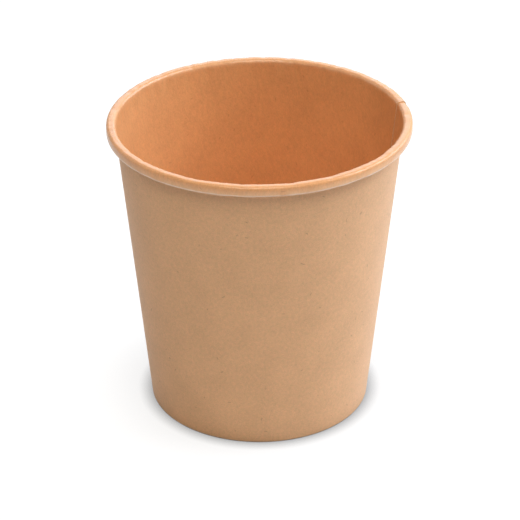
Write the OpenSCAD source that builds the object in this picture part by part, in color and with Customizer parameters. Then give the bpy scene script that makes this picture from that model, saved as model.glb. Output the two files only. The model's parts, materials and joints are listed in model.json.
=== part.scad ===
// A plain paper food cup, empty and free-standing.
// It is two pieces of board: a lapped cone with a rolled rim and a folded foot, and a bottom disc
// whose skirt is sealed inside that fold. Nothing moves.
// The origin is the centre of the footprint and +Z is up. The side seam stands near the +X side.
// Each board has a coated face, which is the inside of the cup and the outside of the rolled rim.

/* [Cup] */
// Outer diameter of the rolled rim
rim_d = 98; // [88:0.5:110]
// Overall height, at the higher side of the rim
cup_h = 100.2; // [70:0.1:140]
// Outer diameter of the wall at the foot
base_d = 72.8; // [60:0.1:84]
// Thickness of the board
board_t = 0.45; // [0.3:0.05:0.5]

/* [Rim] */
// Width of the rolled rim, from the inside of the cup to the outside
curl_w = 3.15; // [3.15:0.05:4.5]
// Height of the rolled rim
curl_h = 3.7; // [3.6:0.1:5]
// Inside radius of the roll's two upper corners, where the board is doubled
curl_top_r = 0.35; // [0.1:0.05:0.7]
// Inside radius of the roll's two lower corners, where the board is doubled
curl_low_r = 0.2; // [0.1:0.05:0.3]
// Clearance between the wall and the edge that is rolled in beside it
curl_gap = 0.1; // [0.05:0.05:0.3]
// How far the rolled-in edge stands above the underside of the rim
tail_h = 1.7; // [1.5:0.1:2]

/* [Foot] */
// Height of the bottom's underside above the table
recess_h = 8; // [6:0.5:12]
// Distance from the bottom's underside down to the end of the folded edge
fold_drop = 1.5; // [1:0.1:2.5]
// Inside radius of the two creases of the fold
crease_r = 0.06; // [0.04:0.01:0.1]
// Outside radius of the bend between the bottom and its skirt
skirt_bend_r = 0.9; // [0.7:0.05:1.2]
// Clearance on each side of the skirt, where the sealed coating is
seal_gap = 0.03; // [0.02:0.01:0.05]
// Clearance below the lower edge of the skirt
skirt_gap = 0.1; // [0.05:0.05:0.5]

/* [Side seam] */
// Width of the lap, measured round the rim
lap_w = 8; // [5:0.5:12]
// Length round the rim over which the board rises onto the lap
rise_w = 5; // [3:0.5:8]
// Direction of the lap's inner edge, counter-clockwise from +X
seam_az = 14; // [0:1:360]
// Height up to which the lap is pressed flatter, towards the fold
press_h = 3; // [2:0.25:4]

/* [Hidden] */

// Colours of the uncoated and the coated board
kraft_outside = "#c29a6e";
kraft_inside = "#c9824d";

// Steps round the whole cup, round a bend of the board, and along the rise onto the lap
round_n = 180;
bend_n = 5;
rise_n = 4;

// Lean of the wall, as the growth of its radius with height, and the length of its slope
lean = (rim_d / 2 - curl_w - base_d / 2 + board_t) / cup_h;
slope_k = sqrt(1 + lean * lean);

// Radii of the coated faces at height z: the wall, the folded edge, the skirt and the rolled-in edge
function wall_r(z) = base_d / 2 - board_t + lean * z;
function fold_r(z) = wall_r(z) - (board_t + 2 * seal_gap) * slope_k;
function skirt_r(z) = wall_r(z) - seal_gap * slope_k;
function tail_r(z) = wall_r(z) + (2 * board_t + curl_gap) * slope_k;

// Heights
rim_under = cup_h - curl_h;
tail_z = rim_under + tail_h;
fold_z = recess_h - fold_drop;
press_z = board_t + crease_r;

// Angle round the cup of the length w along the rim, in whole hundredths of a degree
function rim_angle(w) = round(w / (PI * rim_d) * 36000) / 100;

// Angles of the lap, of one step of the rise, and of the whole rise
lap_a = rim_angle(lap_w);
step_a = rim_angle(rise_w / rise_n);
rise_a = step_a * rise_n;

// Radii of the coated face at the bends of the rim
top_bend_r = curl_top_r + 2 * board_t;
low_bend_r = curl_low_r + 2 * board_t;

// The coated face of the sidewall in section, from the end of the folded edge to the rolled-in edge.
// Each row holds a corner's place, its bend radius, and 1 where the lap stands at its full thickness
// or 0 where it is pressed flat at the fold.
SIDE_LINE = [
    [[fold_r(fold_z), fold_z], 0, 1],
    [[fold_r(press_h), press_h], 0, 1],
    [[fold_r(press_z), press_z], 0, 0],
    [[fold_r(board_t), board_t], crease_r, 0],
    [[wall_r(board_t), board_t], crease_r, 0],
    [[wall_r(press_z), press_z], 0, 0],
    [[wall_r(press_h), press_h], 0, 1],
    [[wall_r(cup_h), cup_h], top_bend_r, 1],
    [[rim_d / 2, cup_h], top_bend_r, 1],
    [[rim_d / 2, rim_under], low_bend_r, 1],
    [[tail_r(rim_under), rim_under], low_bend_r, 1],
    [[tail_r(tail_z), tail_z], 0, 1]
];

// The coated face of the bottom in section, from the lower edge of the skirt to the axis
DISC_LINE = [
    [[skirt_r(board_t + skirt_gap), board_t + skirt_gap], 0, 0],
    [[skirt_r(recess_h + board_t), recess_h + board_t], skirt_bend_r, 0],
    [[0, recess_h + board_t], 0, 0]
];

// Heading from point p to point q, the turn from heading a to heading b, and the normal left of a heading
function heading(p, q) = atan2(q[1] - p[1], q[0] - p[0]);
function turn(a, b) = (b - a + 540) % 360 - 180;
function left_of(a) = [-sin(a), cos(a)];

// Points of a line's corner i at distance d to the right of the line: one point, or an arc at a bend
function corner_points(line, i, d) =
    let (p = line[i][0],
         r = line[i][1],
         first = max(i - 1, 0),
         last = min(i + 1, len(line) - 1),
         a = i > 0 ? heading(line[first][0], p) : heading(p, line[last][0]),
         b = i < len(line) - 1 ? heading(p, line[last][0]) : a,
         bend = turn(a, b),
         side = sign(bend),
         centre = p - r * tan(abs(bend) / 2) * [cos(a), sin(a)] + side * r * left_of(a))
    r == 0
        ? [p - d * left_of(a)]
        : [for (k = [0 : bend_n]) centre - (side * r + d) * left_of(a + bend * k / bend_n)];

// A whole line at distance d to the right, and extra more wherever the line's third value is 1
function offset_line(line, d, extra) =
    [for (i = [0 : len(line) - 1]) each corner_points(line, i, d + extra * line[i][2])];

function reversed(list) = [for (i = [len(list) - 1 : -1 : 0]) list[i]];

// Closed section of a board of thickness t to the right of the line, or to its left if t is negative.
// The coated face is shifted by near thicknesses off the line, and the other face by far thicknesses.
function board_section(line, t, near, far) =
    concat(offset_line(line, 0, near * t), reversed(offset_line(line, t, far * t)));

// Part of a ring with the given section, from direction a over the angle span
module sector(points, a, span) {
    rotate_extrude(angle = span, start = a, $fn = round_n)
        polygon(points);
}

// The cone of board, going once round: the plain stretch, the lap of two layers,
// and before it the fine steps in which the board climbs out over its own other edge.
module sidewall() {
    color(kraft_outside)
        union() {
            sector(board_section(SIDE_LINE, board_t, 0, 0), seam_az + lap_a, 360 - lap_a - rise_a);
            sector(board_section(SIDE_LINE, board_t, 0, 1), seam_az, lap_a);
            for (k = [1 : rise_n])
                let (climb = k / (rise_n + 1),
                     from = seam_az - step_a * (rise_n + 1 - k))
                sector(board_section(SIDE_LINE, board_t, climb, climb), from, step_a);
        }
}

module bottom_disc() {
    color(kraft_inside)
        rotate_extrude($fn = round_n)
            polygon(board_section(DISC_LINE, -board_t, 0, 0));
}

sidewall();
bottom_disc();
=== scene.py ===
# %% [markdown]
# A plain kraft paper food cup, drawn as it is made. Two pieces of board are cut flat, wrapped and pressed:
# the sidewall, whose top edge is rolled into a rim, and the bottom, whose skirt sits inside the folded foot.
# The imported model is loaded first, because every size here has to stay inside its box.

# %% Load the frame
import json
import math

import bmesh
import bpy
from mathutils import Matrix, Vector


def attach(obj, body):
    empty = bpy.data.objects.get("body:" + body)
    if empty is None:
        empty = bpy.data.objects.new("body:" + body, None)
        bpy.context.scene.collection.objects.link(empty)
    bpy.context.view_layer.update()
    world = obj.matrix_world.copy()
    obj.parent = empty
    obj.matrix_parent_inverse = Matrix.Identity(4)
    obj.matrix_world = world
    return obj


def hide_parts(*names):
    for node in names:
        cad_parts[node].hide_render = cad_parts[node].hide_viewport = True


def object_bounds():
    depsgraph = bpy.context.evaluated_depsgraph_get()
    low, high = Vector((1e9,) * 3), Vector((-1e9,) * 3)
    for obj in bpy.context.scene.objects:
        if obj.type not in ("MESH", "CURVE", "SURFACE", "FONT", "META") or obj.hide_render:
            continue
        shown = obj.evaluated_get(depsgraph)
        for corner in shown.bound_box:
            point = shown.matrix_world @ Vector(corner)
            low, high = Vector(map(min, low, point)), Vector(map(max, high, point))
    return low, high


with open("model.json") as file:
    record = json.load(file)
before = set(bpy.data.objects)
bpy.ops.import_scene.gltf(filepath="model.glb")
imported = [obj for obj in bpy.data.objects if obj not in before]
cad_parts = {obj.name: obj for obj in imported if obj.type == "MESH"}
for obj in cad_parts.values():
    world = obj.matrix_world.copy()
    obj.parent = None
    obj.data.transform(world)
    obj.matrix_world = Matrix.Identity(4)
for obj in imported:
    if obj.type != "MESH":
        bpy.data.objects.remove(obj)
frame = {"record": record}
cad_low, cad_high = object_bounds()
print("CAD box in mm", [round(v * 1000, 2) for v in (*cad_low, *cad_high)])

# %% [markdown]
# The sizes below are the board's own. The rim's radius comes from the mount that a lid fits, and the cup's
# height from the photograph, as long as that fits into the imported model. The rim of a real cup is seldom
# level, and this one stands a little higher on one side. The higher side takes the full height, so the
# rim's middle is lower by half of the difference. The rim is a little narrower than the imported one.

# %% Sizes
MM = 0.001
INSIDE_THE_BOX = 0.03 * MM
MEASURED_HEIGHT = 99.72 * MM

mounts = {m["name"]: m for m in frame["record"]["mounts"]}
rim_r = mounts["lid_rim"]["dims"]["r_mm"] * MM - INSIDE_THE_BOX
rim_tilt = math.radians(0.55)
tilt_rise = rim_r * math.sin(rim_tilt)
cup_h = min(cad_high.z - tilt_rise, MEASURED_HEIGHT)

board_t = 0.45 * MM
base_r = 36.27 * MM

rim_w = 3.08 * MM
rim_h = 3.7 * MM
rim_inner_bend = 1.35 * MM
rim_outer_bend = 1.0 * MM
rim_low_bend = 1.0 * MM
rolled_in_gap = 0.1 * MM
rolled_in_h = 1.7 * MM

recess_h = 8.0 * MM
fold_drop = 1.5 * MM
crease_bend = 0.06 * MM
skirt_bend = 0.9 * MM
skirt_gap = 0.1 * MM
seal_gap = 0.03 * MM

seam_direction = math.radians(14)
lap_angle = 8.0 * MM / rim_r
rise_angle = 5.0 * MM / rim_r
press_h = 3.0 * MM

lean = (rim_r - rim_w - base_r + board_t) / cup_h
slope = math.hypot(1, lean)
print("rim radius, height and lean:", round(rim_r / MM, 2), round(cup_h / MM, 2), round(lean, 4))


# %% [markdown]
# Both boards can be drawn as one line in section: the coated face, from one cut edge to the other. The other
# face is the same line moved by the board's thickness. A line is a short list of corners. Each corner says
# how round its bend is, and its lap share says how much of its thickness the seam's lap keeps there: it is
# pressed flattest where the share is 0. A small helper walks along the corners and puts an arc in each bend,
# so that the same few numbers give a crisp fold at the foot and a soft roll at the rim.

# %% Draw a board's line from its corners
def heading(p, q):
    return math.atan2(q[1] - p[1], q[0] - p[0])


def left_of(angle):
    return Vector((-math.sin(angle), math.cos(angle)))


def turn_between(a, b):
    return (b - a + math.pi) % (2 * math.pi) - math.pi


def rounded_line(corners, arc_steps=8, longest=3.2 * MM):
    """A corner is a radius from the axis, a height, a bend radius and a lap share.
    The line is a list of points, each with its right-hand normal and its share."""
    places = [Vector(c[:2]) for c in corners]
    line = []
    for i, (place, corner) in enumerate(zip(places, corners)):
        bend_r, share = corner[2], corner[3]
        inward = heading(places[i - 1], place) if i else heading(place, places[1])
        outward = heading(place, places[i + 1]) if i < len(places) - 1 else inward
        turn = turn_between(inward, outward)
        if bend_r == 0:
            line.append((place, -left_of((inward + outward) / 2 if abs(turn) < 0.5 else inward), share))
            continue
        side = math.copysign(1, turn)
        back = bend_r * math.tan(abs(turn) / 2)
        centre = place - back * Vector((math.cos(inward), math.sin(inward))) + side * bend_r * left_of(inward)
        for k in range(arc_steps + 1):
            normal = left_of(inward + turn * k / arc_steps)
            line.append((centre - side * bend_r * normal, -normal, share))
    return fill_straights(line, longest)


def fill_straights(line, longest):
    """Puts extra points in the long straight runs, so that the board can be a little uneven there."""
    full = [line[0]]
    for (p, n, share), (q, m, next_share) in zip(line, line[1:]):
        pieces = max(1, math.ceil((q - p).length / longest))
        for k in range(1, pieces + 1):
            s = k / pieces
            full.append((p.lerp(q, s), n.lerp(m, s).normalized(), share + (next_share - share) * s))
    return full


# %% [markdown]
# The sidewall's line starts at the end of the folded edge, under the bottom. It goes down to the crease,
# outwards under the skirt, up the inside of the cup, over the rim, and back in beside the wall. The seam is
# pressed hardest in the two creases of the foot and nearly as hard in the roll. It is fullest low on the
# wall, and from there it thins upwards.

# %% The two lines
def wall_radius(z):
    return base_r - board_t + lean * z


def fold_radius(z):
    return wall_radius(z) - (board_t + 2 * seal_gap) * slope


def skirt_radius(z):
    return wall_radius(z) - seal_gap * slope


def rolled_in_radius(z):
    return wall_radius(z) + (2 * board_t + rolled_in_gap) * slope


CREASED, ROLLED, OPEN = 0, 0.1, 0.7
fold_end = recess_h - fold_drop
press_low = board_t + crease_bend
rim_under = cup_h - rim_h
beside_roll = rim_under + 1.5 * MM
rolled_in_end = rim_under + rolled_in_h

side_line = rounded_line([
    (fold_radius(fold_end), fold_end, 0, OPEN),
    (fold_radius(press_h), press_h, 0, OPEN),
    (fold_radius(press_low), press_low, 0, CREASED),
    (fold_radius(board_t), board_t, crease_bend, CREASED),
    (wall_radius(board_t), board_t, crease_bend, CREASED),
    (wall_radius(press_low), press_low, 0, CREASED),
    (wall_radius(press_h), press_h, 0, OPEN),
    (wall_radius(rim_under), rim_under, 0, ROLLED),
    (wall_radius(beside_roll), beside_roll, 0, ROLLED),
    (wall_radius(cup_h), cup_h, rim_inner_bend, ROLLED),
    (rim_r, cup_h, rim_outer_bend, ROLLED),
    (rim_r, rim_under, rim_low_bend, ROLLED),
    (rolled_in_radius(rim_under), rim_under, rim_low_bend, ROLLED),
    (rolled_in_radius(rolled_in_end), rolled_in_end, 0, ROLLED),
])
disc_top = recess_h + board_t
skirt_end = board_t + skirt_gap
disc_line = rounded_line([
    (skirt_radius(skirt_end), skirt_end, 0, 0),
    (skirt_radius(disc_top), disc_top, skirt_bend, 0),
    (0, disc_top, 0, 0),
])
print("points in the lines:", len(side_line), len(disc_line))


# %% [markdown]
# Geometry Nodes can read such a line from a mesh: one vertex for each point, with the normal and the lap's
# share as attributes. `reach` is the distance from the point where the flat board's straight edges would
# meet, which places each point on the uncut sheet, so that fibres can later run straight on it. `pale` says
# where light is painted into the colour: a painted reflection of the white floor, as a light line under the
# rim, and a faint painted highlight on the roll's inner bend.

# %% Store a line as a mesh with attributes
# Where painted light lies: a faint painted highlight on the inner bend, a painted reflection under the roll.
INNER_BEND_PAINTED_LIGHT = 0.1
PAINTED_LIGHT_FADE_IN_HEIGHT, PAINTED_LIGHT_FADE_IN_WIDTH = 0.8 * MM, 0.7 * MM
PAINTED_REFLECTION_FADE_BELOW = 0.4 * MM


def ramp(distance, length):
    """Rises from 0 to 1 over a length."""
    return min(1, max(0, distance / length))


def painted_light_on_bends(point):
    """Painted light: a faint painted highlight on the way into the cup, a painted reflection under the rim.
    """
    inside = 1 - ramp(cup_h - rim_inner_bend - point.y, PAINTED_LIGHT_FADE_IN_HEIGHT)
    inside *= 1 - ramp(point.x - wall_radius(cup_h) - 0.3 * rim_inner_bend, PAINTED_LIGHT_FADE_IN_WIDTH)
    below = 1 - ramp(point.y - rim_under - 0.75 * rim_low_bend, PAINTED_REFLECTION_FADE_BELOW)
    below *= ramp(point.x - rim_r + 0.9 * rim_low_bend, PAINTED_REFLECTION_FADE_BELOW)
    return min(1, INNER_BEND_PAINTED_LIGHT * inside + below)


def line_mesh(name, line, first_reach, reach_sign):
    mesh = bpy.data.meshes.new(name)
    points = [(p.x, 0, p.y) for p, _, _ in line]
    mesh.from_pydata(points, [(i, i + 1) for i in range(len(points) - 1)], [])
    reach = [first_reach]
    for (p, _, _), (q, _, _) in zip(line, line[1:]):
        reach.append(reach[-1] + reach_sign * (q - p).length)
    values = {
        "to_other_face": ("FLOAT_VECTOR", "vector", [c for _, n, _ in line for c in (n.x, 0, n.y)]),
        "lap_share": ("FLOAT", "value", [share for _, _, share in line]),
        "reach": ("FLOAT", "value", reach),
        # `pale` is painted light: a painted highlight on the inner bend and a painted reflection under the
        # roll.
        "pale": ("FLOAT", "value", [painted_light_on_bends(p) for p, _, _ in line]),
    }
    for attribute, (kind, field, data) in values.items():
        mesh.attributes.new(attribute, kind, "POINT").data.foreach_set(field, data)
    thing = bpy.data.objects.new(name, mesh)
    bpy.context.scene.collection.objects.link(thing)
    return thing


# %% [markdown]
# One node tree wraps either line round the axis. It is a grid: one direction goes round the cup, the other
# goes along one face and back along the other. Each grid point looks up its place on the line by its index.
# The sidewall goes round a little more than once, so its two ends lie over each other as the side seam, and
# the outer end climbs just before it meets the inner end. Two extra stations close the cut ends. This makes
# the seam a true lap of one sheet, where a ring with a line drawn on it would only look so.

# %% Helpers for building node trees
def new_tree(name, kind, inputs, outputs):
    tree = bpy.data.node_groups.new(name, kind)
    for label, socket, start in inputs:
        made = tree.interface.new_socket(label, in_out="INPUT", socket_type=socket)
        if start is not None:
            made.default_value = start
    for label, socket in outputs:
        tree.interface.new_socket(label, in_out="OUTPUT", socket_type=socket)
    return tree, tree.nodes.new("NodeGroupInput"), tree.nodes.new("NodeGroupOutput")


def feed(tree, socket, value):
    """Joins a socket to another one, or sets its value."""
    if isinstance(value, bpy.types.NodeSocket):
        tree.links.new(value, socket)
    elif value is not None:
        socket.default_value = value


def math_node(tree, operation, a, b=None):
    node = tree.nodes.new("ShaderNodeMath")
    node.operation = operation
    for socket, value in zip(node.inputs, (a, b)):
        feed(tree, socket, value)
    return node.outputs[0]


def vector_node(tree, operation, a, b=None, scale=None):
    node = tree.nodes.new("ShaderNodeVectorMath")
    node.operation = operation
    feed(tree, node.inputs[0], a)
    feed(tree, node.inputs[1], b)
    if scale is not None:
        feed(tree, node.inputs["Scale"], scale)
    return node.outputs["Vector"]


def smooth_step(tree, value, low, high, out_low=0.0, out_high=1.0):
    node = tree.nodes.new("ShaderNodeMapRange")
    node.interpolation_type = "SMOOTHSTEP"
    labels = ("Value", "From Min", "From Max", "To Min", "To Max")
    for label, given in zip(labels, (value, low, high, out_low, out_high)):
        feed(tree, node.inputs[label], given)
    return node.outputs["Result"]


def combine(tree, x, y, z):
    node = tree.nodes.new("ShaderNodeCombineXYZ")
    for socket, value in zip(node.inputs, (x, y, z)):
        feed(tree, socket, value)
    return node.outputs[0]


def separate(tree, vector):
    node = tree.nodes.new("ShaderNodeSeparateXYZ")
    feed(tree, node.inputs[0], vector)
    return node.outputs


# %% [markdown]
# A field in Geometry Nodes is worked out at every point by itself. These helpers read the line at a chosen
# point, and store a finished field under a name, so that the shaders and the finishes can find it.

# %% Helpers for geometry
def sampled(tree, geometry, kind, index, attribute=None):
    """The value of an attribute, or of the position, at a point of the line."""
    node = tree.nodes.new("GeometryNodeSampleIndex")
    node.data_type = kind
    node.domain = "POINT"
    if attribute:
        source = tree.nodes.new("GeometryNodeInputNamedAttribute")
        source.data_type = kind
        source.inputs["Name"].default_value = attribute
    else:
        source = tree.nodes.new("GeometryNodeInputPosition")
    feed(tree, node.inputs["Geometry"], geometry)
    feed(tree, node.inputs["Value"], source.outputs[0])
    feed(tree, node.inputs["Index"], index)
    return node.outputs[0]


def noise_at(tree, vector, scale, detail, seed):
    node = tree.nodes.new("ShaderNodeTexNoise")
    node.noise_dimensions = "4D"
    feed(tree, node.inputs["Vector"], vector)
    feed(tree, node.inputs["W"], seed)
    node.inputs["Scale"].default_value = scale
    node.inputs["Detail"].default_value = detail
    return node.outputs["Fac"]


def store(tree, geometry, name, kind, domain, value):
    node = tree.nodes.new("GeometryNodeStoreNamedAttribute")
    node.data_type = kind
    node.domain = domain
    feed(tree, node.inputs["Geometry"], geometry)
    node.inputs["Name"].default_value = name
    feed(tree, node.inputs["Value"], value)
    return node.outputs["Geometry"]


def compare(tree, operation, a, b):
    node = tree.nodes.new("FunctionNodeCompare")
    node.data_type = "FLOAT"
    node.operation = operation
    feed(tree, node.inputs[0], a)
    feed(tree, node.inputs[1], b)
    if operation == "EQUAL":
        node.inputs["Epsilon"].default_value = 0.1
    return node.outputs[0]


# %% [markdown]
# In the tree, `u` counts the stations round the cup and `v` the points along the section. The first half of
# `v` runs along the coated face, and the second half runs back along the other one. A grid's points are
# numbered one after the other, so both come from the index, with a small push against rounding.

# %% Where a grid point stands
def stand_on_line(tree, g, count, loop, rows):
    """The turn round the axis, 1 on the far face, 1 at a closed cut end, and the point of the line."""
    index = tree.nodes.new("GeometryNodeInputIndex").outputs[0]
    u = math_node(tree, "FLOOR", math_node(tree, "DIVIDE", math_node(tree, "ADD", index, 0.5), rows))
    v = math_node(tree, "SUBTRACT", index, math_node(tree, "MULTIPLY", u, rows))
    v = math_node(tree, "FLOORED_MODULO", math_node(tree, "ADD", v, 0.25), loop)
    v = math_node(tree, "FLOOR", v)
    far = math_node(tree, "GREATER_THAN", v, math_node(tree, "SUBTRACT", count, 0.5))
    back = math_node(tree, "SUBTRACT", math_node(tree, "SUBTRACT", loop, 1), v)
    to_back = math_node(tree, "MULTIPLY", far, math_node(tree, "SUBTRACT", back, v))
    on_line = math_node(tree, "ADD", v, to_back)

    last = math_node(tree, "SUBTRACT", g["Stations"], 1)
    station = math_node(tree, "SUBTRACT", u, 1)
    station = math_node(tree, "MINIMUM", math_node(tree, "MAXIMUM", station, 0), last)
    turn_full = math_node(tree, "ADD", g["Lap"], 2 * math.pi)
    turned = math_node(tree, "DIVIDE", math_node(tree, "MULTIPLY", station, turn_full), last)
    at_end = math_node(tree, "MAXIMUM", math_node(tree, "LESS_THAN", u, 0.5),
                       math_node(tree, "GREATER_THAN", u, math_node(tree, "ADD", last, 1.5)))
    return turned, far, math_node(tree, "MULTIPLY", at_end, g["Cut ends"]), on_line


# %% [markdown]
# Two layers of board can't be in one place. Just before a full turn the outer layer climbs out over the
# inner one. The seam is pressed while it is hot, so both layers are thinner there, and the outer one is
# lifted by less than a full thickness. The lap share says how much less.

# %% The lap
PRESSED_AWAY = 0.52
LEAST_LIFT = 0.52
LIFT_BY_SHARE = 0.5


def lap_layers(tree, g, turned, share):
    """The board's thickness, and how far the outer layer is lifted, both as the seam has them."""
    climb = smooth_step(tree, turned, math_node(tree, "SUBTRACT", 2 * math.pi, g["Rise"]), 2 * math.pi)
    climb = math_node(tree, "MULTIPLY", climb, g["Cut ends"])
    under = smooth_step(tree, turned, g["Lap"], math_node(tree, "ADD", g["Lap"], g["Rise"]), 1, 0)
    doubled = math_node(tree, "MAXIMUM", climb, math_node(tree, "MULTIPLY", under, g["Cut ends"]))
    pressed = math_node(tree, "MULTIPLY", doubled, math_node(tree, "SUBTRACT", 1, share))
    thinned = math_node(tree, "SUBTRACT", 1, math_node(tree, "MULTIPLY", pressed, PRESSED_AWAY))
    lift = math_node(tree, "ADD", LEAST_LIFT, math_node(tree, "MULTIPLY", share, LIFT_BY_SHARE))
    lift = math_node(tree, "MULTIPLY", math_node(tree, "MULTIPLY", climb, lift), g["Thickness"])
    return math_node(tree, "MULTIPLY", g["Thickness"], thinned), lift


# %% [markdown]
# Rolled board is never quite even. The unevenness comes from noise that is read by direction and not by
# angle, so that it closes after a full turn and both layers of the lap move together. It only pushes the
# board inwards, which keeps the cup inside its box. The fine crinkle belongs to the roll. It fades out on
# the roll's outermost side, whose outline is clean in the photograph. Sway and tilt grow with the height,
# because the foot is held by the bottom and stands flat.

# %% The unevenness
CRINKLE_SCALE = 14.0
CRINKLE_RANGE = (0.42, 0.75)
CRINKLE_HEIGHTS = (cup_h - 2.2 * rim_h, cup_h - 0.6 * rim_h)
OFF_THE_SIDE = (-0.98, -0.6)
SWAY_SCALE = 1.1
SWAY_HEIGHTS = (0.2 * cup_h, 0.95 * cup_h)
NOISE_PER_METRE = 12.0


def crinkle_depth(tree, g, cosine, sine, reach, height, away):
    upwards = math_node(tree, "MULTIPLY", reach, NOISE_PER_METRE)
    crinkle = noise_at(tree, combine(tree, cosine, sine, upwards), CRINKLE_SCALE, 2.0, g["Seed"])
    crinkle = smooth_step(tree, crinkle, *CRINKLE_RANGE)
    crinkle = math_node(tree, "MULTIPLY", crinkle, smooth_step(tree, height, *CRINKLE_HEIGHTS))
    crinkle = math_node(tree, "MULTIPLY", crinkle, g["Crinkle"])
    sideways, _, _ = separate(tree, away)
    return math_node(tree, "MULTIPLY", crinkle, smooth_step(tree, sideways, *OFF_THE_SIDE))


def turned_into_place(tree, g, cosine, sine, height, in_section):
    """Turns a point of the section to its direction, with the sway and the rim's tilt."""
    x, _, z = separate(tree, in_section)
    high = smooth_step(tree, height, *SWAY_HEIGHTS)
    upwards = math_node(tree, "MULTIPLY", height, NOISE_PER_METRE)
    sway = noise_at(tree, combine(tree, cosine, sine, upwards), SWAY_SCALE, 1.0, g["Seed"])
    sway = math_node(tree, "MULTIPLY", math_node(tree, "MULTIPLY", sway, high), g["Sway"])
    radius = math_node(tree, "SUBTRACT", x, math_node(tree, "MINIMUM", sway, x))
    rise = math_node(tree, "MULTIPLY", math_node(tree, "MULTIPLY", cosine, x),
                     math_node(tree, "MULTIPLY", high, g["Tilt"]))
    return combine(tree, math_node(tree, "MULTIPLY", radius, cosine),
                   math_node(tree, "MULTIPLY", radius, sine), math_node(tree, "ADD", z, rise))


# %% [markdown]
# A cone's board unrolls to a fan. So the turn, made smaller, and the reach give each point's place on the
# flat sheet, which is stored as the UV map `sheet`. `side` says which finish a face has: 0 is the raw
# outside, 1 the coated face, and 2 a cut edge.

# %% The flat sheet and the sides
def flat_place(tree, g, turned, reach, layer):
    fan = math_node(tree, "MULTIPLY", math_node(tree, "SUBTRACT", turned, g["Grain"]), g["Fan"])
    sheet_reach = math_node(tree, "ADD", reach, math_node(tree, "MULTIPLY", layer, board_t))
    flat = combine(tree, math_node(tree, "MULTIPLY", sheet_reach, math_node(tree, "SINE", fan)),
                   math_node(tree, "MULTIPLY", sheet_reach, math_node(tree, "COSINE", fan)), 0.0)
    at_points = tree.nodes.new("GeometryNodeFieldOnDomain")
    at_points.data_type = "FLOAT_VECTOR"
    at_points.domain = "POINT"
    feed(tree, at_points.inputs[0], flat)
    return at_points.outputs[0]


def side_of_face(tree, g, count, loop):
    index = tree.nodes.new("GeometryNodeInputIndex").outputs[0]
    face_u = math_node(tree, "FLOOR", math_node(tree, "DIVIDE", math_node(tree, "ADD", index, 0.5), loop))
    face_v = math_node(tree, "SUBTRACT", index, math_node(tree, "MULTIPLY", face_u, loop))
    coated = math_node(tree, "LESS_THAN", face_v, math_node(tree, "SUBTRACT", count, 1.5))
    from_first_edge = math_node(tree, "SUBTRACT", face_v, math_node(tree, "SUBTRACT", count, 1))
    first_edge = math_node(tree, "LESS_THAN", math_node(tree, "ABSOLUTE", from_first_edge), 0.5)
    last_edge = math_node(tree, "GREATER_THAN", face_v, math_node(tree, "SUBTRACT", loop, 1.5))
    long_edge = math_node(tree, "MAXIMUM", first_edge, last_edge)
    end_faces = math_node(tree, "SUBTRACT", g["Stations"], 0.5)
    short_edge = math_node(tree, "MAXIMUM", math_node(tree, "LESS_THAN", face_u, 0.5),
                           math_node(tree, "GREATER_THAN", face_u, end_faces))
    cut = math_node(tree, "MAXIMUM", long_edge, math_node(tree, "MULTIPLY", short_edge, g["Cut ends"]))
    to_cut = math_node(tree, "MULTIPLY", cut, math_node(tree, "SUBTRACT", 2, coated))
    return math_node(tree, "ADD", coated, to_cut)


# %% [markdown]
# Points of the grid that fall together are merged, which closes the ring and the cut ends. The board shades
# smoothly round its bends, and only the edges that a blade made are crisp. The mesh is realized, and each
# side gets its finish.

# %% Close the shell and give it its finishes
SAME_PLACE = 0.002 * MM
CRISP_ANGLE = math.radians(50)


def closed_shell(tree, body):
    merge = tree.nodes.new("GeometryNodeMergeByDistance")
    feed(tree, merge.inputs["Geometry"], body)
    merge.inputs["Distance"].default_value = SAME_PLACE
    smooth = tree.nodes.new("GeometryNodeSetShadeSmooth")
    smooth.domain = "FACE"
    feed(tree, smooth.inputs["Geometry"], merge.outputs["Geometry"])
    edge = tree.nodes.new("GeometryNodeInputMeshEdgeAngle").outputs["Unsigned Angle"]
    crisp = tree.nodes.new("GeometryNodeSetShadeSmooth")
    crisp.domain = "EDGE"
    crisp.inputs["Shade Smooth"].default_value = False
    feed(tree, crisp.inputs["Geometry"], smooth.outputs["Geometry"])
    feed(tree, crisp.inputs["Selection"], compare(tree, "GREATER_THAN", edge, CRISP_ANGLE))
    return crisp.outputs["Geometry"]


def with_finishes(tree, g, body):
    realize = tree.nodes.new("GeometryNodeRealizeInstances")
    feed(tree, realize.inputs["Geometry"], body)
    body = realize.outputs["Geometry"]
    which = tree.nodes.new("GeometryNodeInputNamedAttribute")
    which.data_type = "FLOAT"
    which.inputs["Name"].default_value = "side"
    for value, label in ((0, "Outside"), (1, "Coated"), (2, "Cut edge")):
        paint = tree.nodes.new("GeometryNodeSetMaterial")
        feed(tree, paint.inputs["Geometry"], body)
        feed(tree, paint.inputs["Selection"], compare(tree, "EQUAL", which.outputs[0], value))
        feed(tree, paint.inputs["Material"], g[label])
        body = paint.outputs["Geometry"]
    return body


# %% [markdown]
# With these steps the whole tree is short. It makes the grid, moves each point from the line along its
# normal by the layer it is in, turns it into place, and finishes the shell.

# %% The tree that wraps a board
WRAP_INPUTS = [
    ("Line", "NodeSocketGeometry", None),
    ("Thickness", "NodeSocketFloat", board_t),
    ("Stations", "NodeSocketInt", 500),
    ("Cut ends", "NodeSocketFloat", 1.0),
    ("Start", "NodeSocketFloat", 0.0),
    ("Lap", "NodeSocketFloat", 0.0),
    ("Rise", "NodeSocketFloat", 0.1),
    ("Fan", "NodeSocketFloat", 1.0),
    ("Grain", "NodeSocketFloat", 0.0),
    ("Tilt", "NodeSocketFloat", 0.0),
    ("Sway", "NodeSocketFloat", 0.0),
    ("Crinkle", "NodeSocketFloat", 0.0),
    ("Seed", "NodeSocketFloat", 0.0),
    ("Outside", "NodeSocketMaterial", None),
    ("Coated", "NodeSocketMaterial", None),
    ("Cut edge", "NodeSocketMaterial", None),
]


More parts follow.
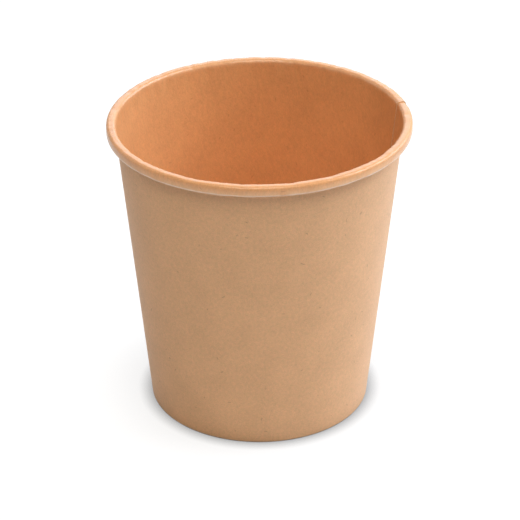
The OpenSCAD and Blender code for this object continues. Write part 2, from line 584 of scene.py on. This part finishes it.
def build_wrap_tree():
    outputs = [("Board", "NodeSocketGeometry")]
    tree, given, out = new_tree("wrap_board", "GeometryNodeTree", WRAP_INPUTS, outputs)
    g = given.outputs
    size = tree.nodes.new("GeometryNodeAttributeDomainSize")
    feed(tree, size.inputs["Geometry"], g["Line"])
    count = size.outputs["Point Count"]
    loop = math_node(tree, "MULTIPLY", count, 2)
    rows = math_node(tree, "ADD", loop, 1)
    grid = tree.nodes.new("GeometryNodeMeshGrid")
    feed(tree, grid.inputs["Vertices X"], math_node(tree, "ADD", g["Stations"], 2))
    feed(tree, grid.inputs["Vertices Y"], rows)

    turned, far, at_end, on_line = stand_on_line(tree, g, count, loop, rows)
    place = sampled(tree, g["Line"], "FLOAT_VECTOR", on_line)
    away = sampled(tree, g["Line"], "FLOAT_VECTOR", on_line, "to_other_face")
    share = sampled(tree, g["Line"], "FLOAT", on_line, "lap_share")
    reach = sampled(tree, g["Line"], "FLOAT", on_line, "reach")
    # `pale` carries the painted light of the line: a painted highlight and a painted reflection.
    pale = sampled(tree, g["Line"], "FLOAT", on_line, "pale")

    thick, lift = lap_layers(tree, g, turned, share)
    to_middle = math_node(tree, "MULTIPLY", at_end, math_node(tree, "SUBTRACT", 0.5, far))
    layer = math_node(tree, "ADD", far, to_middle)
    direction = math_node(tree, "ADD", turned, g["Start"])
    cosine = math_node(tree, "COSINE", direction)
    sine = math_node(tree, "SINE", direction)
    _, _, height = separate(tree, place)
    crinkle = crinkle_depth(tree, g, cosine, sine, reach, height, away)
    depth = math_node(tree, "ADD", math_node(tree, "MULTIPLY", layer, thick),
                      math_node(tree, "ADD", lift, crinkle))
    in_section = vector_node(tree, "ADD", place, vector_node(tree, "SCALE", away, scale=depth))

    sheet = flat_place(tree, g, turned, reach, layer)
    body = store(tree, grid.outputs["Mesh"], "sheet", "FLOAT2", "CORNER", sheet)
    # The painted light is stored on the points for the coated finish.
    body = store(tree, body, "pale", "FLOAT", "POINT", pale)
    body = store(tree, body, "side", "FLOAT", "FACE", side_of_face(tree, g, count, loop))
    set_place = tree.nodes.new("GeometryNodeSetPosition")
    feed(tree, set_place.inputs["Geometry"], body)
    made = turned_into_place(tree, g, cosine, sine, height, in_section)
    feed(tree, set_place.inputs["Position"], made)
    body = closed_shell(tree, set_place.outputs["Geometry"])
    feed(tree, out.inputs["Board"], with_finishes(tree, g, body))
    return tree


wrap_tree = build_wrap_tree()
print("nodes in the wrapping tree:", len(wrap_tree.nodes))


# %% [markdown]
# A modifier's inputs are set by their identifiers, before the object is looked at for the first time. Then
# the finished shape is copied out as a plain mesh, and its normals are made to point outwards once more,
# which is safe here because each board is one closed shell.

# %% Wrap a line and keep the plain mesh
def wrapped(name, line, first_reach, reach_sign, materials, **values):
    source = line_mesh(name + "_line", line, first_reach, reach_sign)
    modifier = source.modifiers.new("wrap", "NODES")
    modifier.node_group = wrap_tree
    ids = {item.name: item.identifier for item in wrap_tree.interface.items_tree
           if item.item_type == "SOCKET" and item.in_out == "INPUT"}
    for label, value in {**values, **materials}.items():
        modifier[ids[label]] = value
    graph = bpy.context.evaluated_depsgraph_get()
    mesh = bpy.data.meshes.new_from_object(source.evaluated_get(graph))
    bpy.data.objects.remove(source)
    shell = bmesh.new()
    shell.from_mesh(mesh)
    bare = [e for e in shell.edges if not e.link_faces]
    bmesh.ops.delete(shell, geom=bare, context="EDGES")
    bmesh.ops.recalc_face_normals(shell, faces=shell.faces)
    open_edges = sum(1 for e in shell.edges if len(e.link_faces) != 2)
    shell.to_mesh(mesh)
    shell.free()
    mesh.name = name
    piece = bpy.data.objects.new(name, mesh)
    bpy.context.scene.collection.objects.link(piece)
    triangles = sum(len(p.vertices) - 2 for p in mesh.polygons)
    print(name, "triangles", triangles, "edges without two faces", open_edges)
    return piece


# %% [markdown]
# Plain kraft board is one material with three finishes: the raw outside, the coated inside, and the cut
# edge. All three share the same pulp, so its look is a node group of clouds, flecks, grain and fibres. The
# group gives out a colour and a height, and each finish sets its own strengths.

# %% Shader helpers
def mixed_colour(tree, factor, a, b):
    node = tree.nodes.new("ShaderNodeMix")
    node.data_type = "RGBA"
    feed(tree, node.inputs["Factor"], factor)
    feed(tree, [s for s in node.inputs if s.name == "A" and s.type == "RGBA"][0], a)
    feed(tree, [s for s in node.inputs if s.name == "B" and s.type == "RGBA"][0], b)
    return [s for s in node.outputs if s.type == "RGBA"][0]


def texture_noise(tree, vector, scale, detail=2.0, roughness=0.5, tint=False):
    node = tree.nodes.new("ShaderNodeTexNoise")
    feed(tree, node.inputs["Vector"], vector)
    feed(tree, node.inputs["Scale"], scale)
    node.inputs["Detail"].default_value = detail
    node.inputs["Roughness"].default_value = roughness
    return (node.outputs["Fac"], node.outputs["Color"]) if tint else node.outputs["Fac"]


def colour(red, green, blue):
    """A colour given as it looks on screen, from 0 to 255, as the shader wants it."""
    linear = [((c / 255 + 0.055) / 1.055) ** 2.4 if c > 10 else c / 255 / 12.92 for c in (red, green, blue)]
    return (*linear, 1.0)


# %% [markdown]
# Fibres are drawn one to a cell. A Voronoi texture gives each cell a middle and a random colour. The colour
# turns the fibre, and the distances along and across it from the middle cut out a short thin stroke.

# %% The fibre group
def turned_pair(tree, operation, a, by_a, b, by_b):
    """The size of a * by_a plus or minus b * by_b, which is one coordinate of a turned pair."""
    first = math_node(tree, "MULTIPLY", a, by_a)
    second = math_node(tree, "MULTIPLY", b, by_b)
    return math_node(tree, "ABSOLUTE", math_node(tree, operation, first, second))


FIBRE_INPUTS = ("Sheet", "Cells per metre", "Half length", "Half width", "Share", "Upright")


def build_fibre_group():
    sockets = [(label, "NodeSocketFloat", 0.3) for label in FIBRE_INPUTS[1:]]
    sockets = [("Sheet", "NodeSocketVector", None)] + sockets
    tree, given, out = new_tree("paper_fibres", "ShaderNodeTree", sockets, [("Mask", "NodeSocketFloat")])
    g = given.outputs
    cells = tree.nodes.new("ShaderNodeTexVoronoi")
    cells.voronoi_dimensions = "2D"
    scaled = vector_node(tree, "SCALE", g["Sheet"], scale=g["Cells per metre"])
    bend = texture_noise(tree, scaled, 1.3, 1.0)
    bent = vector_node(tree, "ADD", scaled, combine(tree, math_node(tree, "MULTIPLY", bend, 0.5),
                                                    math_node(tree, "MULTIPLY", bend, -0.4), 0.0))
    feed(tree, cells.inputs["Vector"], bent)
    cells.inputs["Scale"].default_value = 1.0
    from_middle = vector_node(tree, "SUBTRACT", bent, cells.outputs["Position"])
    dx, dy, _ = separate(tree, from_middle)
    red, green, blue = separate(tree, cells.outputs["Color"])
    angles = math_node(tree, "SUBTRACT", math.pi, math_node(tree, "MULTIPLY", g["Upright"], 2.4))
    angle = math_node(tree, "MULTIPLY", math_node(tree, "SUBTRACT", red, 0.5), angles)
    cosine, sine = math_node(tree, "COSINE", angle), math_node(tree, "SINE", angle)
    along = turned_pair(tree, "ADD", dy, cosine, dx, sine)
    across = turned_pair(tree, "SUBTRACT", dx, cosine, dy, sine)
    length = math_node(tree, "MULTIPLY", g["Half length"], math_node(tree, "ADD", 0.4, blue))
    in_length = smooth_step(tree, along, math_node(tree, "MULTIPLY", length, 0.7), length, 1, 0)
    core = math_node(tree, "MULTIPLY", g["Half width"], 0.3)
    in_width = smooth_step(tree, across, core, g["Half width"], 1, 0)
    there = math_node(tree, "LESS_THAN", green, g["Share"])
    mask = math_node(tree, "MULTIPLY", math_node(tree, "MULTIPLY", in_length, in_width), there)
    feed(tree, out.inputs["Mask"], mask)
    return tree


fibre_group = build_fibre_group()


# %% [markdown]
# The pulp group puts it together. Clouds are the uneven thickness of the pulp, about a centimetre wide. The
# mottle is what the eye reads as kraft: soft flecks of a millimetre and a still finer grain, both a little
# longer in the direction the board was made in, which on this cup runs upright. Over them lie faint fibres,
# pale and dark, and a few dark specks.

# %% The pulp group
CLOUDS_PER_METRE = 85.0
FLECKS_PER_METRE = 1000.0
GRAIN_PER_METRE = 3200.0
GRAIN_TO_MOTTLE = 1.5


def build_pulp_group():
    tree, given, out = new_tree("kraft_pulp", "ShaderNodeTree", [
        ("Sheet", "NodeSocketVector", None),
        ("Colour", "NodeSocketColor", (0.5, 0.3, 0.16, 1)),
        ("Dark colour", "NodeSocketColor", (0.1, 0.04, 0.02, 1)),
        ("Cloud strength", "NodeSocketFloat", 0.05),
        ("Mottle strength", "NodeSocketFloat", 0.1),
        ("Tint strength", "NodeSocketFloat", 0.05),
        ("Fibre strength", "NodeSocketFloat", 0.1),
        ("Speck strength", "NodeSocketFloat", 0.6),
        ("Streak", "NodeSocketFloat", 2.0),
    ], [("Colour", "NodeSocketColor"), ("Height", "NodeSocketFloat")])
    g = given.outputs
    sheet = g["Sheet"]
    sx, sy, _ = separate(tree, sheet)
    drawn = combine(tree, sx, math_node(tree, "DIVIDE", sy, g["Streak"]), 0.0)
    clouds = texture_noise(tree, sheet, CLOUDS_PER_METRE, 2.0)
    flecks, fleck_tint = texture_noise(tree, drawn, FLECKS_PER_METRE, 3.0, 0.6, tint=True)
    grain = texture_noise(tree, drawn, GRAIN_PER_METRE, 2.0, 0.6)

    def fibres(cells_per_metre, half_length, half_width, share, upright):
        node = tree.nodes.new("ShaderNodeGroup")
        node.node_tree = fibre_group
        values = (sheet, cells_per_metre, half_length, half_width, share, upright)
        for label, value in zip(FIBRE_INPUTS, values):
            feed(tree, node.inputs[label], value)
        return node.outputs["Mask"]

    short_pale = fibres(420.0, half_length=0.5, half_width=0.07, share=0.8, upright=0.5)
    long_pale = fibres(310.0, half_length=0.5, half_width=0.05, share=0.7, upright=0.0)
    pale = math_node(tree, "MAXIMUM", short_pale, long_pale)
    dark = fibres(360.0, half_length=0.5, half_width=0.07, share=0.5, upright=0.4)
    strong_specks = fibres(95.0, half_length=0.065, half_width=0.017, share=0.05, upright=0.0)
    weak_specks = fibres(170.0, half_length=0.1, half_width=0.045, share=0.2, upright=0.0)
    weak_specks = math_node(tree, "MULTIPLY", weak_specks, 0.35)
    specks = math_node(tree, "MAXIMUM", strong_specks, weak_specks)

    def centred(value, strength):
        return math_node(tree, "MULTIPLY", math_node(tree, "SUBTRACT", value, 0.5), strength)

    grain_strength = math_node(tree, "MULTIPLY", g["Mottle strength"], GRAIN_TO_MOTTLE)
    level = math_node(tree, "ADD", centred(clouds, g["Cloud strength"]),
                      centred(flecks, g["Mottle strength"]))
    level = math_node(tree, "ADD", level, centred(grain, grain_strength))
    both = math_node(tree, "MULTIPLY", math_node(tree, "SUBTRACT", pale, dark), g["Fibre strength"])
    level = math_node(tree, "ADD", math_node(tree, "ADD", level, both), 1.0)
    tint = vector_node(tree, "SCALE", vector_node(tree, "SUBTRACT", fleck_tint, (0.5, 0.5, 0.5)),
                       scale=g["Tint strength"])
    tint = vector_node(tree, "ADD", tint, combine(tree, level, level, level))
    toned = vector_node(tree, "MULTIPLY", g["Colour"], tint)
    speck_share = math_node(tree, "MULTIPLY", specks, g["Speck strength"])
    shade = mixed_colour(tree, speck_share, toned, g["Dark colour"])
    feed(tree, out.inputs["Colour"], shade)
    height = math_node(tree, "ADD", math_node(tree, "MULTIPLY", flecks, 0.5),
                       math_node(tree, "MULTIPLY", grain, 0.35))
    strokes = math_node(tree, "MULTIPLY", math_node(tree, "ADD", pale, dark), 0.25)
    feed(tree, out.inputs["Height"], math_node(tree, "ADD", height, strokes))
    return tree


pulp_group = build_pulp_group()


# %% [markdown]
# The three finishes differ in sheen, not in pulp. The raw outside is dry and matte. The coating inside
# deepens the colour, fills the grain and gives a soft gloss, which shows best on the roll of the rim. Where
# `pale` is set, light is painted into its colour in patches: a painted reflection of the floor under the
# roll, and a faint painted highlight on its inner bend. A cut edge is open pulp, so it has no coating.

# %% The board's finishes
# A pale colour for painted light: the painted reflection under the roll and the painted highlight on its
# bend.
PAINTED_LIGHT_COLOUR = colour(246, 222, 196)
PAINTED_LIGHT_PATCHES_PER_METRE = 260.0
BUMP_DEPTH = 0.06 * MM


def board_material(name, base, dark, roughness, specular, bump, sheen=0.0, coat=0.0, coat_roughness=0.3,
                   painted_light_strength=0.0, **pulp):
    material = bpy.data.materials.new(name)
    material.use_nodes = True
    tree = material.node_tree
    shader = tree.nodes["Principled BSDF"]
    sheet = tree.nodes.new("ShaderNodeUVMap")
    sheet.uv_map = "sheet"
    node = tree.nodes.new("ShaderNodeGroup")
    node.node_tree = pulp_group
    feed(tree, node.inputs["Sheet"], sheet.outputs["UV"])
    node.inputs["Colour"].default_value = base
    node.inputs["Dark colour"].default_value = dark
    for label, value in pulp.items():
        node.inputs[label.replace("_", " ").capitalize()].default_value = value
    shade = node.outputs["Colour"]
    # Painted light: the colour is mixed towards a pale one, in patches, where `pale` is set.
    if painted_light_strength:
        bent = tree.nodes.new("ShaderNodeAttribute")
        bent.attribute_name = "pale"
        painted_light_patches = texture_noise(tree, sheet.outputs["UV"], PAINTED_LIGHT_PATCHES_PER_METRE, 2.0)
        painted_light_patches = smooth_step(tree, painted_light_patches, 0.3, 0.6, 0.55, 1.0)
        factor = math_node(tree, "MULTIPLY", bent.outputs["Fac"], painted_light_patches)
        factor = math_node(tree, "MULTIPLY", factor, painted_light_strength)
        shade = mixed_colour(tree, factor, shade, PAINTED_LIGHT_COLOUR)
    feed(tree, shader.inputs["Base Color"], shade)
    bumped = tree.nodes.new("ShaderNodeBump")
    bumped.inputs["Strength"].default_value = bump
    bumped.inputs["Distance"].default_value = BUMP_DEPTH
    feed(tree, bumped.inputs["Height"], node.outputs["Height"])
    feed(tree, shader.inputs["Normal"], bumped.outputs["Normal"])
    shader.inputs["Roughness"].default_value = roughness
    shader.inputs["Specular IOR Level"].default_value = specular
    shader.inputs["Sheen Weight"].default_value = sheen
    shader.inputs["Sheen Roughness"].default_value = 0.4
    shader.inputs["Coat Weight"].default_value = coat
    shader.inputs["Coat Roughness"].default_value = coat_roughness
    return material


outside = board_material(
    "kraft_outside", colour(219, 171, 127), colour(92, 58, 44), roughness=0.62, specular=0.35, bump=0.35,
    sheen=0.1,
    cloud_strength=0.2, mottle_strength=0.28, tint_strength=0.1, fibre_strength=0.03,
    speck_strength=0.85, streak=1.3)
# The coated finish carries the painted reflection and the painted highlight.
coated = board_material(
    "kraft_coated", colour(222, 160, 106), colour(110, 60, 36), roughness=0.5, specular=0.1, bump=0.2,
    coat=0.65, coat_roughness=0.2, painted_light_strength=0.75,
    cloud_strength=0.22, mottle_strength=0.24, tint_strength=0.08, fibre_strength=0.03,
    speck_strength=0.5, streak=2.4)
cut_edge = board_material(
    "kraft_cut_edge", colour(214, 180, 142), colour(120, 84, 60), roughness=0.9, specular=0.2, bump=0.6,
    cloud_strength=0.1, mottle_strength=0.3, tint_strength=0.05, fibre_strength=0.1,
    speck_strength=0.3, streak=1.0)
finishes = {"Outside": outside, "Coated": coated, "Cut edge": cut_edge}
print("finishes:", ", ".join(m.name for m in finishes.values()))


# %% [markdown]
# Now the two boards are wrapped. The sidewall's straight edges would meet at the tip of its cone, far below
# the foot, so its sheet is a narrow fan. The bottom is a full disc.

# %% The sidewall
wall_tip = (base_r - board_t) * slope / lean
first_reach = wall_tip - fold_end * slope
sidewall = wrapped(
    "cup_sidewall", side_line, first_reach, 1, finishes, **{
        "Thickness": board_t, "Stations": 500, "Cut ends": 1.0, "Start": seam_direction,
        "Lap": lap_angle, "Rise": rise_angle, "Fan": lean / slope, "Grain": 1.4 * math.pi,
        "Tilt": rim_tilt, "Sway": 0.04 * MM, "Crinkle": 0.24 * MM, "Seed": 3.0})
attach(sidewall, "root")
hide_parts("sidewall")

# %% The bottom
disc_reach = sum((q - p).length for (p, _, _), (q, _, _) in zip(disc_line, disc_line[1:]))
bottom = wrapped(
    "cup_bottom", disc_line, disc_reach, -1, finishes, **{
        "Thickness": -board_t, "Stations": 241, "Cut ends": 0.0, "Start": 0.0,
        "Lap": 0.0, "Rise": 0.1, "Fan": 1.0, "Grain": 0.0,
        "Tilt": 0.0, "Sway": 0.0, "Crinkle": 0.0, "Seed": 5.0})
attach(bottom, "root")
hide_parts("bottom_disc")


# %% [markdown]
# The camera stands where the photograph was taken from: about 29 degrees up and three quarters of a metre
# away, with a long lens, so that perspective narrows the cup only a little towards its foot. The focal
# length and the aim are in pixels of the photograph. The cup leans a hair in the picture, so the camera
# does too.

# %% Camera
PHOTO = 520
FOCAL = 2314.6
AIM_IN_PHOTO = (259.42, 268.3)
camera_data = bpy.data.cameras.new("camera")
camera_data.sensor_width = 36.0
camera_data.lens = FOCAL / PHOTO * camera_data.sensor_width
camera = bpy.data.objects.new("camera", camera_data)
bpy.context.scene.collection.objects.link(camera)
bpy.context.scene.camera = camera

elevation = math.radians(29.01)
camera_distance = 765.6 * MM
aim_height = 44.84 * MM
aim_offset = [aim - PHOTO / 2 for aim in AIM_IN_PHOTO]
lean_in_picture = math.radians(-0.04)
back = Vector((0, -math.cos(elevation), math.sin(elevation)))
right = Vector((1, 0, 0))
above = back.cross(right)
place = Vector((0, 0, aim_height)) + back * camera_distance
per_pixel = camera_distance / FOCAL
looked_at = Vector((0, 0, aim_height)) - right * aim_offset[0] * per_pixel + above * aim_offset[1] * per_pixel
back = (place - looked_at).normalized()
right = above.cross(back).normalized()
above = back.cross(right)
turned_right = right * math.cos(lean_in_picture) + above * math.sin(lean_in_picture)
turned_above = back.cross(turned_right)
facing = Matrix((turned_right, turned_above, back)).transposed().to_4x4()
camera.matrix_world = Matrix.Translation(place) @ facing
print("lens", round(camera_data.lens, 1), "mm, camera at", [round(c, 3) for c in place])


# %% [markdown]
# The floor is white card. For the camera and for reflections it is mostly an even glow of its own, which
# gives the plain white background, and for the light that it throws back on the cup it is just pale card.
# Close to the foot, where the cup closes off the air, a painted contact shadow darkens the card's colour and
# its glow: deeply within a few millimetres, and faintly in a wide soft ring. The lamps' own soft shadow lies
# over that.

# %% Floor
CARD = 0.75
CARD_LESS_TO_THE_EYE = 0.6
GLOW = 0.92


def seen_by_eye(tree):
    """1 for what the camera sees, straight or in a reflection, and 0 for light that falls on other things."""
    seen = tree.nodes.new("ShaderNodeLightPath").outputs
    in_a_reflection = math_node(tree, "MAXIMUM", seen["Is Glossy Ray"], seen["Is Transmission Ray"])
    return math_node(tree, "MAXIMUM", seen["Is Camera Ray"], in_a_reflection)


def painted_contact_shadow(tree, distance, strength):
    """Painted shadow: how much of the air within a distance is closed off by the cup, as a share of the
    strength.
    """
    node = tree.nodes.new("ShaderNodeAmbientOcclusion")
    node.samples = 8
    node.inputs["Distance"].default_value = distance
    return math_node(tree, "MULTIPLY", math_node(tree, "SUBTRACT", 1.0, node.outputs["AO"]), strength)


def flat_floor(size):
    mesh = bpy.data.meshes.new("floor")
    corners = [(-size, -size, 0), (size, -size, 0), (size, size, 0), (-size, size, 0)]
    mesh.from_pydata(corners, [], [(0, 1, 2, 3)])
    thing = bpy.data.objects.new("floor", mesh)
    bpy.context.scene.collection.objects.link(thing)
    material = bpy.data.materials.new("white_card")
    material.use_nodes = True
    tree = material.node_tree
    shader = tree.nodes["Principled BSDF"]
    shader.inputs["Roughness"].default_value = 0.9
    shader.inputs["Specular IOR Level"].default_value = 0.1
    by_eye = seen_by_eye(tree)
    # Painted contact shadow in the card's colour and glow: close to the foot, and faintly in a wide ring.
    painted_shadow_at_foot = painted_contact_shadow(tree, 5 * MM, 0.75)
    painted_shadow_around = painted_contact_shadow(tree, 24 * MM, 0.27)
    outside_painted_shadow = math_node(tree, "SUBTRACT", 1.0, math_node(tree, "ADD", painted_shadow_at_foot, painted_shadow_around))
    card = math_node(tree, "SUBTRACT", CARD, math_node(tree, "MULTIPLY", by_eye, CARD_LESS_TO_THE_EYE))
    card = math_node(tree, "MULTIPLY", card, outside_painted_shadow)
    feed(tree, shader.inputs["Base Color"], combine(tree, card, card, card))
    shader.inputs["Emission Color"].default_value = (1, 1, 1, 1)
    glow = math_node(tree, "MULTIPLY", math_node(tree, "MULTIPLY", by_eye, GLOW), outside_painted_shadow)
    feed(tree, shader.inputs["Emission Strength"], glow)
    mesh.materials.append(material)


flat_floor(3.0)


# %% [markdown]
# Broad round lamps give the photograph's soft light. The strongest pair stands on the right, where the wall
# is brightest and a little cooler. A warmer one stands high in front, and two weak ones on the left and at
# the back open up the rim and the inside. The world gives hardly any light, and only looks white.

# %% Lights
LAMP_DISTANCE = 1.4
WORLD_LIGHT = 0.03


def panel(name, direction, elevation_angle, size, power, tint):
    data = bpy.data.lights.new(name, "AREA")
    data.shape = "DISK"
    data.size = size
    data.energy = power
    data.color = tint
    thing = bpy.data.objects.new(name, data)
    around, up = math.radians(direction), math.radians(elevation_angle)
    towards = Vector((math.cos(around) * math.cos(up), math.sin(around) * math.cos(up), math.sin(up)))
    thing.location = Vector((0, 0, cup_h / 2)) + towards * LAMP_DISTANCE
    thing.rotation_euler = towards.to_track_quat("Z", "Y").to_euler()
    bpy.context.scene.collection.objects.link(thing)


panel("key_right", 3, 41, 0.9, 13.0, (0.94, 1.02, 1.12))
panel("low_right", 30, 25, 0.9, 7.0, (0.9, 1.02, 1.25))
panel("left", 160, 36, 0.9, 2.0, (1.1, 0.98, 0.85))
panel("top_front", 268, 61, 1.0, 12.2, (1.04, 0.97, 0.88))
panel("back", 84, 30, 1.0, 4.0, (0.92, 1.0, 1.15))

world = bpy.data.worlds.new("studio")
bpy.context.scene.world = world
world.use_nodes = True
air = world.node_tree
sky = air.nodes["Background"]
sky.inputs["Color"].default_value = (1, 1, 1, 1)
white_to_the_eye = math_node(air, "MULTIPLY", seen_by_eye(air), 1 - WORLD_LIGHT)
feed(air, sky.inputs["Strength"], math_node(air, "ADD", WORLD_LIGHT, white_to_the_eye))

view = bpy.context.scene.view_settings
view.view_transform = "Standard"
